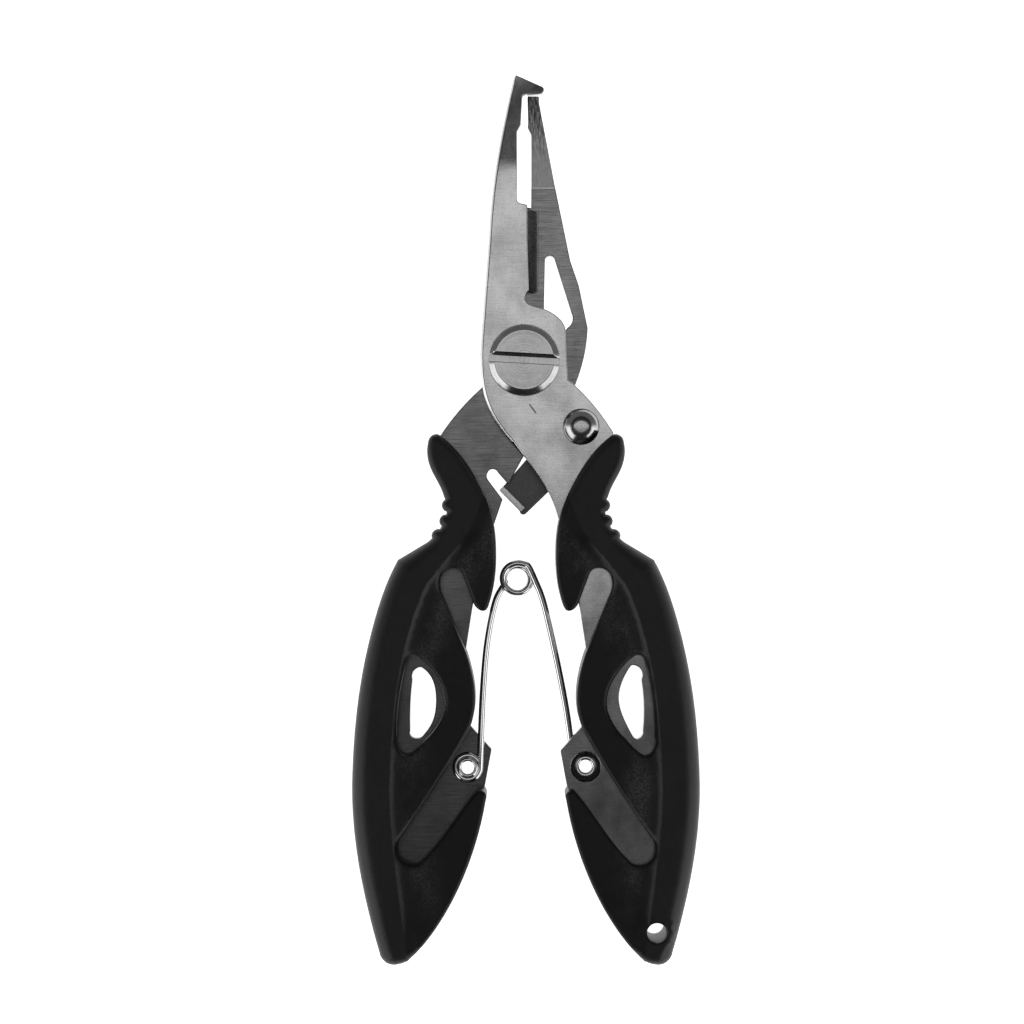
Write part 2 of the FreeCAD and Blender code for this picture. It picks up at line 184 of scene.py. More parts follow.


# %% [markdown]
# ## Tumbled steel of the front lever
# The front plate is stainless sheet, stamped and then tumbled with small stones. That leaves a
# soft satin with a faint cloudiness and tiny pits, and use has left one hairline scratch. The
# clouds vary the brightness and roughness, and the pits are a fine bump. The tang is painted darker
# than the jaw as painted shade from the grips, the sunk ring round the rivet is painted near black as
# painted shade in the bore, and the ground chamfer of the jaw is painted brighter as a highlight.

# %% Front lever finish
SCRATCH_START = (0.44 * MM, 16.13 * MM)
SCRATCH_END = (1.56 * MM, 14.58 * MM)
SCRATCH_WIDTH = 0.12 * MM
BORE_SHADE_RADIUS = (2.05 * MM, 2.15 * MM)
BORE_SHADE_RISE = (0.3 * MM, 0.7 * MM)
TANG_SHADE_BELOW = -30 * MM


def line_mask(place, start, end, width):
    """1 on a straight scratch between two places of the plan, and 0 away from it."""
    x, y, _ = apart(place)
    across = Vector((end[0] - start[0], end[1] - start[1]))
    length = across.length
    dx, dy = across / length
    along = (x - start[0]) * dx + (y - start[1]) * dy
    aside = ((x - start[0]) * dy - (y - start[1]) * dx).math("ABSOLUTE")
    wander = (grain(place, 3000, 3000, 10, 0.0) - 0.5) * 0.1 * MM
    thin = 1 - (aside + wander).smooth(width / 2, width)
    return thin * along.smooth(0.0, length / 4) * (1 - along.smooth(length * 0.75, length))


def bore_shade_mask(place, node):
    """Mask of painted shade: 1 in the sunk ring round a rivet and 0 on the plate's face."""
    low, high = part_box(node)
    x, y, z = apart(place)
    dx = x - (low[0] + high[0]) / 2
    dy = y - (low[1] + high[1]) / 2
    far = (dx * dx + dy * dy).math("SQRT").smooth(*BORE_SHADE_RADIUS)
    return (1 - far) * (1 - z.smooth(*(high[2] + rise for rise in BORE_SHADE_RISE)))


def tumbled_steel(place):
    _, y, _ = apart(place)
    clouds = grain(place, 220, 160, 220, 4.0)
    specks = grain(place, 5200, 4200, 5200, 3.0)
    pits = grain(place, 2600, 2600, 2600, 2.0).smooth(0.66, 0.76)
    scratch = line_mask(place, SCRATCH_START, SCRATCH_END, SCRATCH_WIDTH)
    strokes = grain(place, 260, 7000, 7000, 2.0)
    # painted shade: the sunk ring round the spring rivet is painted near black, as the shade in the bore
    bore_shade = bore_shade_mask(place, "spring_rivet_right")
    # painted highlight: the ground chamfer of the jaw is painted brighter
    ground_highlight = place.node("ShaderNodeAttribute", {"attribute_name": "ground_highlight"}, {}, "Fac")
    tone = clouds * 0.6 + specks * 0.25 + strokes * 0.15
    # painted shade: the plate is painted darker towards its tang, where the grips shade it
    tang_shade = y.smooth(TANG_SHADE_BELOW, 0) * 0.55 + 0.45
    shade = (tone.smooth(0.25, 0.75) * 0.6 + 0.3 + ground_highlight) * (1 - scratch * 0.7) * (1 - pits * 0.2) * tang_shade
    return {
        "Base Color": blend_colour(shade * (1 - bore_shade * 0.97), 0.02, 0.66),
        "Roughness": clouds * 0.10 + specks * 0.05 + ground_highlight * 0.2 + 0.12,
        "Normal": raised(specks * 0.35 + strokes * 0.2 + pits * -0.4 - scratch * 2.0, 0.008 * MM),
    }


steel_front = finish("tumbled_steel", tumbled_steel, Metallic=1.0)

# %% [markdown]
# ## Brushed steel of the rear lever
# The rear plate went through a belt sander, which leaves fine lines across the tool, and is a
# darker steel. The jaw in front of the bend was ground again by hand, lengthwise, and a painted sheen
# makes it brightest just past the bend. Noise that is stretched along the brushing gives the lines,
# and a mask at the bend turns their direction. Like the front lever, the plate is painted darker
# towards its tang, as painted shade from the grips.

# %% Rear lever finish
JAW_BEND = 46.6 * MM
BEND_BLUR = 0.05 * MM
SHEEN_RUN = 14 * MM


def brushed_steel(place):
    _, y, _ = apart(place)
    across = grain(place, 240, 9000, 9000, 2.0)
    lengthwise = grain(place, 9000, 240, 9000, 2.0)
    jaw = y.smooth(JAW_BEND - BEND_BLUR, JAW_BEND + BEND_BLUR)
    lines = across * (1 - jaw) + lengthwise * jaw
    clouds = grain(place, 260, 260, 260, 3.0)
    # painted sheen: the jaw is painted brightest just past the bend, fading towards the tip
    bend_sheen = jaw * (1 - y.smooth(JAW_BEND, JAW_BEND + SHEEN_RUN))
    worn = (lengthwise.smooth(0.35, 0.65) - 0.5) * (jaw - bend_sheen) * 0.5
    tone = lines * 0.65 + clouds * 0.35 + bend_sheen * 0.6 - jaw * 0.2 + worn
    # painted shade: the plate is painted darker towards its tang, where the grips shade it
    tang_shade = y.smooth(TANG_SHADE_BELOW, 50 * MM) * 0.7 + 0.3
    return {
        "Base Color": blend_colour(tone.smooth(0.1, 1.0) * tang_shade, 0.04, 0.42),
        "Roughness": lines * 0.12 + 0.17,
        "Normal": raised(lines, 0.010 * MM),
    }


steel_rear = finish("brushed_steel", brushed_steel, Metallic=1.0)

# %% [markdown]
# ## Lock painted dark
# The lock lever is painted near black all over, as painted shade: it lies between the plates, where
# shade falls. The top of its tab stands level with the rear plate and was ground bright with it, so
# the finish turns from black to bright steel near that height.

# %% Lock finish
TAB_BRIGHT = 4.86 * MM


def lock_steel_painted_shade(place):
    x, _, z = apart(place)
    top = z.smooth(TAB_BRIGHT - 0.1 * MM, TAB_BRIGHT) * (1 - x.smooth(0.0, 1.0 * MM))
    mottle = grain(place, 1400, 1400, 1400, 4.0)
    lines = grain(place, 300, 8000, 8000, 2.0)
    # painted shade: the lock lever is painted near black, standing for the shade between the plates
    painted_shade_black = blend_colour(mottle, 0.03, 0.12)
    bright = blend_colour(lines, 0.35, 0.65)
    return {
        "Base Color": top.node("ShaderNodeMix", {"data_type": "RGBA"}, {0: top, 6: painted_shade_black, 7: bright}, 2),
        "Roughness": mottle * 0.2 + 0.2,
        "Normal": raised(mottle * 0.6 + lines * 0.4, 0.010 * MM),
    }


steel_black = finish("lock_steel_painted_shade", lock_steel_painted_shade, Metallic=1.0)

# %% [markdown]
# ## Polished pins and wire
# The screw, the rivets and the spring are drawn or turned and then polished, so they mirror the
# studio. Rubbed spots and slight dents break the mirror, and the faces cut on a lathe have rings.

# %% Polished finishes
def polished(place):
    haze = grain(place, 700, 700, 700, 3.0)
    dents = grain(place, 900, 900, 900, 1.0)
    return {
        "Base Color": blend_colour(haze, 0.60, 0.85),
        "Roughness": haze * 0.12 + 0.10,
        "Normal": raised(dents, 0.004 * MM),
    }


def turned_about(centre):
    """Recipe for a lathe-cut face: faint rings round a centre."""
    def recipe(place):
        offset = place.node("ShaderNodeVectorMath", {"operation": "SUBTRACT"}, {0: place, 1: tuple(centre)})
        x, y, z = apart(offset)
        radius = (x * x + y * y).math("SQRT")
        spot = offset.node("ShaderNodeCombineXYZ", {}, {"X": radius, "Z": z})
        rings = grain(spot, 5200, 1, 1500, 3.0)
        haze = grain(place, 500, 500, 500, 3.0)
        return {
            "Base Color": blend_colour((haze * 0.6 + rings * 0.4).smooth(0.25, 0.75), 0.27, 0.42),
            "Roughness": haze * 0.12 + 0.12,
            "Normal": raised(rings, 0.014 * MM),
        }
    return recipe


steel_polished = finish("polished_steel", polished, Metallic=1.0)

# %% [markdown]
# ## Moulded grips
# The grips are a soft black thermoplastic, moulded over the tangs. The mould was spark-eroded, so
# the skin has a fine even grain, slightly shinier where hands rub it. A painted sheen lightens the
# grain in the hollow below the crest and the band outside it, and the wall between stays dark as
# painted shade: the mesh carries one attribute for the sheen of the hollow and one for the band's.

# %% Grip finish
def moulded_rubber(place):
    pebble = grain(place, 3600, 3600, 3600, 3.0)
    fine = grain(place, 9000, 9000, 9000, 2.0)
    rubbed = grain(place, 180, 120, 180, 3.0)
    hollow_sheen = place.node("ShaderNodeAttribute", {"attribute_name": "hollow_sheen"}, {}, "Fac")
    band_sheen = place.node("ShaderNodeAttribute", {"attribute_name": "band_sheen"}, {}, "Fac")
    # painted sheen: the grain in the hollow and the band outside the crest are painted lighter
    speckled_sheen = (pebble * 0.4 + fine * 0.6).smooth(0.36, 0.7) * hollow_sheen * rubbed.smooth(0.25, 0.65)
    tone = rubbed * 0.35 + pebble * 0.25 + speckled_sheen * 2.2 + band_sheen * 0.35
    return {
        "Base Color": blend_colour(tone.smooth(0.1, 2.4), 0.003, 0.060),
        "Roughness": rubbed * 0.12 + pebble * 0.10 + hollow_sheen * 0.08 + 0.28,
        "Normal": raised(pebble * 0.7 + fine * 0.3, 0.05 * MM),
    }


grip_black = finish("moulded_rubber", moulded_rubber, Specular_IOR_Level=0.24)

# %% [markdown]
# ## Steel plates with broken edges
# A stamped plate never keeps a razor edge: tumbling breaks it to about a tenth of a millimetre, and
# that thin round is what catches the light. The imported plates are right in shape, so each is
# copied, merged into whole faces, and given a small bevel.

# %% Copy a plate and break its edges
def show(name, mesh, material, body, slot, *nodes):
    """Put a finished mesh in the scene on its body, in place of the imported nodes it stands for."""
    mesh.materials.clear()
    mesh.materials.append(material)
    piece = bpy.data.objects.new(name, mesh)
    bpy.context.scene.collection.objects.link(piece)
    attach(piece, body)
    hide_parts(*nodes)
    size = [round((b - a) / MM, 1) for a, b in zip(*corners(mesh))]
    print(f"{name}: {len(mesh.polygons)} faces, {size} mm")


def corners(mesh):
    """Lowest and highest corner of a mesh."""
    spots = [v.co for v in mesh.vertices]
    return [[pick(s[i] for s in spots) for i in range(3)] for pick in (min, max)]


def plain_mesh(piece):
    """The piece with its modifiers applied, as a mesh of its own. The piece itself is removed."""
    graph = bpy.context.evaluated_depsgraph_get()
    mesh = bpy.data.meshes.new_from_object(piece.evaluated_get(graph), depsgraph=graph)
    bpy.data.objects.remove(piece)
    return mesh


def whole_faces(node):
    """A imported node's triangles merged into whole flat faces."""
    mesh = bmesh.new()
    mesh.from_mesh(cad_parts[node].data)
    bmesh.ops.remove_doubles(mesh, verts=mesh.verts, dist=MERGE)
    bmesh.ops.dissolve_limit(mesh, angle_limit=math.radians(0.5), verts=mesh.verts, edges=mesh.edges)
    merged = bpy.data.meshes.new(node)
    mesh.to_mesh(merged)
    mesh.free()
    return merged


def broken_edges(node, width, smooth_below=30, blank=None):
    """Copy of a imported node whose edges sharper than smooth_below degrees have a small round.

    blank is the mesh to start from, where an edge was ground first.
    """
    plate = bpy.data.objects.new(node + "_blank", blank or whole_faces(node))
    bpy.context.scene.collection.objects.link(plate)
    for polygon in plate.data.polygons:
        polygon.use_smooth = True
    bevel = plate.modifiers.new("Broken edge", "BEVEL")
    bevel.width = width
    bevel.segments = 3
    bevel.limit_method = "ANGLE"
    bevel.angle_limit = math.radians(smooth_below)
    bevel.use_clamp_overlap = False
    weighted = plate.modifiers.new("Flat faces", "WEIGHTED_NORMAL")
    weighted.mode = "FACE_AREA"
    weighted.weight = 100
    return plain_mesh(plate)


# %% [markdown]
# The outer edge of the front lever has a wider chamfer, ground on after stamping. It runs from
# beside the screw to the jaw's tip, on the top edges left of the middle. They are bevelled before the
# small rounds.

# %% Chamfer on the front jaw
JAW_START = -3 * MM
JAW_LEFT = -1.6 * MM
JAW_CHAMFER = 0.32 * MM
SHARP = math.radians(60)


def chamfered(node, wanted, width):
    """Blank of a node with a chamfer on its wanted edges. The new faces carry the attribute ground,
    which the front lever's finish paints brighter as a painted highlight.
    """
    mesh = bmesh.new()
    blank = whole_faces(node)
    mesh.from_mesh(blank)
    mark = mesh.faces.layers.float.new("ground_highlight")
    chosen = [e for e in mesh.edges if e.calc_face_angle(0.0) > SHARP and wanted(e)]
    cut = bmesh.ops.bevel(mesh, geom=chosen, offset=width, segments=1, affect="EDGES", clamp_overlap=False)
    for face in cut["faces"]:
        face[mark] = 1.0
    mesh.to_mesh(blank)
    mesh.free()
    print(f"{node}: {len(chosen)} edges chamfered")
    return blank


def on_jaw_side(edge):
    """Outer top edge of the front lever, from beside the screw to the tip."""
    a, b = (v.co for v in edge.verts)
    rim = any(f.normal.z > 0.9 for f in edge.link_faces)
    above = all(f.normal.z > -0.5 for f in edge.link_faces)
    return rim and above and min(a.y, b.y) > JAW_START and max(a.x, b.x) < JAW_LEFT


# %% Levers, lock, nut, shim and bush
PLATE_EDGE = 0.14 * MM
SMALL_EDGE = 0.07 * MM
front_blank = chamfered("front_lever", on_jaw_side, JAW_CHAMFER)
show("front_plate", broken_edges("front_lever", PLATE_EDGE, blank=front_blank), steel_front,
     "front_lever", "steel_front", "front_lever")
show("rear_plate", broken_edges("rear_lever", PLATE_EDGE), steel_rear,
     "rear_lever", "steel_rear", "rear_lever")
show("lock_arm", broken_edges("lock_lever", SMALL_EDGE), steel_black,
     "lock_lever", "steel_black", "lock_lever")
show("hex_nut", broken_edges("pivot_nut", SMALL_EDGE), steel_polished,
     "front_lever", "steel_polished", "pivot_nut")
for node in ("pivot_shim", "lock_bush"):
    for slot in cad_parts[node].material_slots:
        slot.material = steel_polished

# %% [markdown]
# ## Pivot screw and domed rivet
# The screw has a flat head with a turned bevel and a milled slot, whose edge nearer the jaws is worn.
# The lock rivet was set with a cupped punch, which leaves a dome with a small flat. Each gets its own
# turning rings, centred on its own axis.

# %% Screw and rivet
def centre_of(node):
    """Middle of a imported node, from its box."""
    low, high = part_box(node)
    return (Vector(low) + Vector(high)) / 2


screw_face = finish("turned_screw", turned_about(centre_of("pivot_screw")), Metallic=1.0)
rivet_face = finish("turned_rivet", turned_about(centre_of("lock_rivet")), Metallic=1.0)
SLOT_WEAR = 0.40 * MM
SLOT_HALF = 1.0 * MM
SLOT_LONG = 3 * MM
screw_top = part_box("pivot_screw")[1][2]
screw_centre = centre_of("pivot_screw")


def on_slot_side(edge):
    """Edge of the slot nearer the jaws, which the screwdriver has worn round."""
    a, b = (v.co for v in edge.verts)
    level = min(a.z, b.z) > screw_top - MERGE
    nearer = 0 < min(a.y, b.y) - screw_centre.y and max(a.y, b.y) - screw_centre.y < SLOT_HALF
    return level and nearer and abs(a.x - b.x) > SLOT_LONG


screw_blank = chamfered("pivot_screw", on_slot_side, SLOT_WEAR)
show("slotted_screw", broken_edges("pivot_screw", SMALL_EDGE, 25, blank=screw_blank), screw_face,
     "front_lever", "steel_polished", "pivot_screw")


def turned(centre, profile, steps=96):
    """Solid of revolution about an upright axis, from (radius, height) pairs listed bottom to top."""
    mesh = bmesh.new()
    edges = []
    spots = [mesh.verts.new((centre.x + r, centre.y, z)) for r, z in profile]
    for low, high in zip(spots, spots[1:]):
        edges.append(mesh.edges.new((low, high)))
    bmesh.ops.spin(mesh, geom=spots + edges, cent=(centre.x, centre.y, 0), axis=(0, 0, 1),
                   angle=2 * math.pi, steps=steps, use_merge=True)
    bmesh.ops.remove_doubles(mesh, verts=mesh.verts, dist=MERGE)
    bmesh.ops.recalc_face_normals(mesh, faces=mesh.faces)
    made = bpy.data.meshes.new("turned")
    mesh.to_mesh(made)
    mesh.free()
    for polygon in made.polygons:
        polygon.use_smooth = True
    made.set_sharp_from_angle(angle=math.radians(38))
    return made


def arc(middle, radius, start, end, steps=8):
    """Points of an arc in a profile, between two angles in degrees."""
    angles = [math.radians(start + (end - start) * i / steps) for i in range(steps + 1)]
    return [(middle[0] + radius * math.cos(a), middle[1] + radius * math.sin(a)) for a in angles]


RIVET_SHANK = 1.2 * MM
RIVET_DOME = 2.55 * MM
RIVET_FLAT = 0.6 * MM
DOME_STEPS = 12
RIVET_TAIL = 2.0 * MM
TAIL_ROUND = 0.15 * MM
DOME_EDGE = 0.25 * MM
plate_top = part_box("front_lever")[1][2]
tail_low, dome_high = (c[2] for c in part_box("lock_rivet"))
tail_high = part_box("lock_lever")[0][2]
dome_rise = dome_high - plate_top - DOME_EDGE
dome_turn = 2 * math.atan(dome_rise / (RIVET_DOME - RIVET_FLAT))
dome_radius = (RIVET_DOME - RIVET_FLAT) / math.sin(dome_turn)
dome = [(RIVET_DOME, plate_top)]
for i in range(DOME_STEPS + 1):
    turn = dome_turn * (1 - i / DOME_STEPS)
    dome.append((RIVET_FLAT + dome_radius * math.sin(turn), dome_high - dome_radius * (1 - math.cos(turn))))
tail = [(0, tail_low)] + arc((RIVET_TAIL - TAIL_ROUND, tail_low + TAIL_ROUND), TAIL_ROUND, -90, 0, 4)
rivet_profile = tail + [(RIVET_TAIL, tail_high), (RIVET_SHANK, tail_high), (RIVET_SHANK, plate_top)]
rivet_profile += dome + [(0, dome_high)]
show("domed_rivet", turned(centre_of("lock_rivet"), rivet_profile), rivet_face,
     "front_lever", "steel_polished", "lock_rivet")

# %% [markdown]
# ## Hollow rivets
# A short tube with a flange holds each eye of the spring. Its open end was rolled outwards, which
# leaves a bright round rim. The profile is a tube whose lip is a half circle.

# %% Two hollow rivets
BARREL = 1.15 * MM
BORE = 0.88 * MM
FLANGE = 0.5 * MM
FLANGE_EDGE = 0.12 * MM
RIMS = {"spring_rivet_left": 1.45 * MM, "spring_rivet_right": 1.6 * MM}
LIP_RISE = 0.3 * MM
LIP_START = 0.45 * MM


def hollow_rivet_profile(node):
    """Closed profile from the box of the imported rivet: flange, barrel, rolled lip and bore."""
    low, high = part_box(node)
    flange = (high[0] - low[0]) / 2
    lip = (RIMS[node] - BORE) / 2
    flange_top = low[2] + FLANGE
    profile = [(BORE, low[2]), (flange - FLANGE_EDGE, low[2])]
    profile += arc((flange - FLANGE_EDGE, low[2] + FLANGE_EDGE), FLANGE_EDGE, -90, 0, 4)
    profile += arc((flange - FLANGE_EDGE, flange_top - FLANGE_EDGE), FLANGE_EDGE, 0, 90, 4)
    profile += [(BARREL, flange_top), (BARREL, high[2] - LIP_START)]
    for angle in range(-20, 200, 10):
        a = math.radians(angle)
        profile.append((BORE + lip + lip * math.cos(a), high[2] - LIP_RISE + LIP_RISE * math.sin(a)))
    return profile + [(BORE, low[2])]


for side, body in (("left", "rear_lever"), ("right", "front_lever")):
    node = f"spring_rivet_{side}"
    show(f"rolled_rivet_{side}", turned(centre_of(node), hollow_rivet_profile(node), 64),
         steel_polished, body, "steel_polished", node)

# %% [markdown]
# ## Return spring
# One length of round wire: an eye round each hollow rivet, two long bowed legs and one and a half
# turns of coil between them. A tube along a smooth path is just what Geometry Nodes do, so the
# tree takes the path's points, smooths them, and sweeps a circle along them.

# %% Path of the wire
WIRE = 0.95 * MM
COIL = Vector((-1.2 * MM, -8.6 * MM, 0))
COIL_RADIUS = 1.9 * MM
COIL_PITCH = 1.05 * MM
COIL_START = 200
COIL_SWEEP = 510
COIL_OPENING = 1.0 * MM
COIL_OPENS_AT = 330
POINT_TURN = 15
WIRE_STEP = 0.2 * MM
WIRE_SIDES = 20
EYE_RADIUS = 1.7 * MM
EYE_GAP = 0.03 * MM
LEFT_LEG = [(-6.35, -31.5), (-6.05, -24.5), (-5.45, -17.5), (-4.3, -11.8)]
RIGHT_LEG = [(6.4, -32.0), (5.6, -26.5), (4.2, -19.3), (2.5, -12.0), (1.3, -8.8)]
rear_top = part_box("pivot_shim")[0][2]
front_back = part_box("pivot_shim")[1][2]
middle = (rear_top + front_back) / 2
left_height = rear_top + WIRE / 2 + EYE_GAP
right_height = front_back - WIRE / 2 - EYE_GAP


def eye_turn(node, height, first, last):
    """Points round an eye of the spring, from one angle to another in degrees."""
    centre = centre_of(node)
    step = POINT_TURN if last > first else -POINT_TURN
    angles = [math.radians(a) for a in range(first, last + step, step)]
    return [(centre.x + EYE_RADIUS * math.cos(a), centre.y + EYE_RADIUS * math.sin(a), height)
            for a in angles]


def coil_turns():
    """One and a half clockwise turns that climb from the left leg to the right leg."""
    points = []
    for turn in range(0, COIL_SWEEP + 1, POINT_TURN):
        angle = math.radians(COIL_START - turn)
        radius = COIL_RADIUS + COIL_OPENING * max(0, turn - COIL_OPENS_AT) / 360
        height = middle + COIL_PITCH * (turn - COIL_SWEEP / 2) / 360
        points.append((COIL.x + radius * math.cos(angle), COIL.y + radius * math.sin(angle), height))
    return points


def leg(places, eye_height, coil_height):
    """A leg, listed from its eye, that slopes gently to the coil."""
    slope = (coil_height - eye_height) / len(places)
    return [(x * MM, y * MM, eye_height + slope * i) for i, (x, y) in enumerate(places)]


coil = coil_turns()
stretches = [
    eye_turn("spring_rivet_left", left_height, 30, 360),
    leg(LEFT_LEG, left_height, coil[0][2]),
    coil,
    leg(RIGHT_LEG, right_height, coil[-1][2])[::-1],
    eye_turn("spring_rivet_right", right_height, 150, -180)[::-1],
]
wire_path = [Vector(p) for stretch in stretches for p in stretch]
print(f"spring path: {len(wire_path)} points")


# %% Sweep the wire with Geometry Nodes
def swept_wire_tree(material):
    """Node tree that turns a line of points into a round wire."""
    tree = bpy.data.node_groups.new("swept_wire", "GeometryNodeTree")
    tree.interface.new_socket("Geometry", in_out="INPUT", socket_type="NodeSocketGeometry")
    for name in ("Wire radius", "Step"):
        tree.interface.new_socket(name, in_out="INPUT", socket_type="NodeSocketFloat")
    tree.interface.new_socket("Geometry", in_out="OUTPUT", socket_type="NodeSocketGeometry")
    given = tree.nodes.new("NodeGroupInput")
    line, radius, step = (Link(tree, given.outputs[n]) for n in ("Geometry", "Wire radius", "Step"))
    curve = line.node("GeometryNodeMeshToCurve", {}, {"Mesh": line})
    curve = curve.node("GeometryNodeCurveSplineType", {"spline_type": "CATMULL_ROM"}, {"Curve": curve})
    curve = curve.node("GeometryNodeResampleCurve", {"mode": "LENGTH"}, {"Curve": curve, "Length": step})
    share = curve.node("GeometryNodeSplineParameter", {}, {}, "Factor")
    stored = {"Geometry": curve, "Name": "wire_run", "Value": share}
    curve = curve.node("GeometryNodeStoreNamedAttribute", {"data_type": "FLOAT", "domain": "POINT"}, stored)
    circle = radius.node("GeometryNodeCurvePrimitiveCircle", {}, {"Resolution": WIRE_SIDES, "Radius": radius})
    swept = {"Curve": curve, "Profile Curve": circle, "Fill Caps": True}
    wire = curve.node("GeometryNodeCurveToMesh", {}, swept)
    wire = wire.node("GeometryNodeSetShadeSmooth", {}, {"Geometry": wire})
    wire = wire.node("GeometryNodeRealizeInstances", {}, {"Geometry": wire})
    wire = wire.node("GeometryNodeSetMaterial", {}, {"Geometry": wire, "Material": material})
    tree.links.new(wire.socket, tree.nodes.new("NodeGroupOutput").inputs[0])
    return tree


def set_input(modifier, name, value):
    """Set a Geometry Nodes input by the identifier of its socket."""
    for item in modifier.node_group.interface.items_tree:
        if item.name == name and item.in_out == "INPUT":
            modifier[item.identifier] = value


line = bpy.data.meshes.new("wire_line")
line.from_pydata(wire_path, [(i, i + 1) for i in range(len(wire_path) - 1)], [])
blank = bpy.data.objects.new("wire_blank", line)
sweep = blank.modifiers.new("Sweep", "NODES")
sweep.node_group = swept_wire_tree(steel_polished)
set_input(sweep, "Wire radius", WIRE / 2)
set_input(sweep, "Step", WIRE_STEP)
bpy.context.scene.collection.objects.link(blank)
spring_mesh = plain_mesh(blank)
print(f"spring: {len(spring_mesh.polygons)} faces")

# %% [markdown]
# The spring bends as the handles open: each eye stays on its own lever, the coil turns half as
# far as the handles do and keeps its round shape, and the legs take up the difference. So the
# share of each point in the motion follows its run along the wire, not its place in the plan.

# %% Bend the spring between the levers
def run_lengths(points):
    """Length along the path at each point."""
    lengths = [0.0]
    for here, there in zip(points, points[1:]):
        lengths.append(lengths[-1] + (there - here).length)
    return lengths


def eased(value, low, high):
    """0 below low, 1 above high and a smooth step between them."""
    t = min(1.0, max(0.0, (value - low) / (high - low)))
    return t * t * (3 - 2 * t)


def motion_share(run):
    """0 on the left eye, a half over the coil and 1 on the right eye."""
    return 0.5 * eased(run, left_eye_end, coil_begin) + 0.5 * eased(run, coil_end, right_eye_begin)


lengths = run_lengths(wire_path)
ends = []
for stretch in stretches:
    ends.append((ends[-1] if ends else 0) + len(stretch))
left_eye_end, coil_begin, coil_end, right_eye_begin = (lengths[i - 1] / lengths[-1] for i in ends[:4])
spring = bpy.data.objects.new("bent_wire_spring", spring_mesh)
bpy.context.scene.collection.objects.link(spring)
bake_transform(spring, "rear_lever", "front_lever", centre_of("spring_rivet_left"), centre_of("spring_rivet_right"))
for share, run in zip(spring_mesh.attributes["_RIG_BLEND"].data, spring_mesh.attributes["wire_run"].data):
    share.value = motion_share(run.value)
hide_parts("return_spring")

# %% [markdown]
# ## Grips
# Each grip is one moulding over both faces of its tang. Seen from the side it is a thick rounded
# band on the outside of the hand, a crisp crest, and a sunk inner face that the fingers close
# over, with an eye through it and two windows that show the steel. A mesh of quads would fight
# that outline, so the face is triangulated instead: rows of points follow the edge and the crest,
# where the shape turns quickly, and an even grid fills the rest. The height of each point comes
# from its distance to the edge and to the crest.

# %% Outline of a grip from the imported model
POINT_GAP = 0.38 * MM
OUTLINE_HEIGHT = 1.5 * MM
CORNER = math.radians(28)


def plan_place(vert):
    """Key that sorts points by their place in the plan."""
    return (vert.co.x, vert.co.y)


def section_loops(node, height, side):
    """Closed outlines where a level plane cuts a node. Side -1 mirrors a left piece to the right.

    Each outline starts at its leftmost point and leaves it by the neighbour further left, so that
    the points come out in the same order on every run.
    """
    mesh = bmesh.new()
    mesh.from_mesh(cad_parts[node].data)
    bmesh.ops.remove_doubles(mesh, verts=mesh.verts, dist=MERGE)
    whole = mesh.verts[:] + mesh.edges[:] + mesh.faces[:]
    bmesh.ops.bisect_plane(mesh, geom=whole, dist=MERGE / 10, plane_co=(0, 0, height),
                           plane_no=(0, 0, 1), clear_inner=True, clear_outer=True)
    bmesh.ops.remove_doubles(mesh, verts=mesh.verts, dist=MERGE)
    loops = []
    left = set(mesh.verts)
    for start in sorted(mesh.verts, key=plan_place):
        loop = []
        onward = [start] if start in left else []
        while onward:
            here = min(onward, key=plan_place)
            left.discard(here)
            loop.append(here)
            beside = [e.other_vert(here) for e in here.link_edges]
            onward = [v for v in beside if v in left]
        if loop:
            loops.append([Vector((side * v.co.x, v.co.y)) for v in loop])
    mesh.free()
    return sorted(loops, key=lambda l: -abs(area(l)))


def area(loop):
    """Signed area: positive when the loop runs anticlockwise."""
    return sum(a.cross(b) for a, b in zip(loop, loop[1:] + loop[:1])) / 2


def turn_at(loop, i):
    """How sharply the outline turns at one of its points, in radians."""
    before = loop[i] - loop[i - 1]
    after = loop[(i + 1) % len(loop)] - loop[i]
    return before.angle(after, 0.0)


def evenly_open(chain, gap):
    """Points an even gap apart along an open chain, without its last point."""
    runs = run_lengths(chain)
    count = max(1, round(runs[-1] / gap))
    spaced = []
    k = 0
    for j in range(count):
        target = runs[-1] * j / count
        while runs[k + 1] < target:
            k += 1
        share = (target - runs[k]) / (runs[k + 1] - runs[k])
        spaced.append(chain[k].lerp(chain[k + 1], share))
    return spaced


def evenly(loop, gap):
    """The loop with points an even gap apart, keeping its corners."""
    fixed = [i for i in range(len(loop)) if turn_at(loop, i) > CORNER] or [0]
    spaced = []
    for start, end in zip(fixed, fixed[1:] + [fixed[0] + len(loop)]):
        spaced += evenly_open([loop[i % len(loop)] for i in range(start, end + 1)], gap)
    return spaced


# %% Distance to a line drawn in the plan
def fence(chains):
    """Search tree of upright strips along chains of points, for exact distances in the plan."""
    spots = []
    strips = []
    for chain in chains:
        for a, b in zip(chain, chain[1:]):
            n = len(spots)
            spots += [(a.x, a.y, -1), (b.x, b.y, -1), (b.x, b.y, 1), (a.x, a.y, 1)]
            strips.append((n, n + 1, n + 2, n + 3))
    return BVHTree.FromPolygons(spots, strips)


def distance(tree, spot):
    """Nearest strip, distance to it, and the distance with the sign of the side it is on."""
    near, normal, index, gap = tree.find_nearest(Vector((spot.x, spot.y, 0)))
    side = (Vector((spot.x, spot.y, 0)) - near).dot(normal)
    return index, gap, math.copysign(gap, side)


# %% [markdown]
# The crest is one smooth curve from the throat of the grip to its end. On its inner side the face
# steps down over a small lip, slopes to the foot of the wall and rises gently towards the windows. On
# its outer side it is slightly crowned up to the large round of the band.

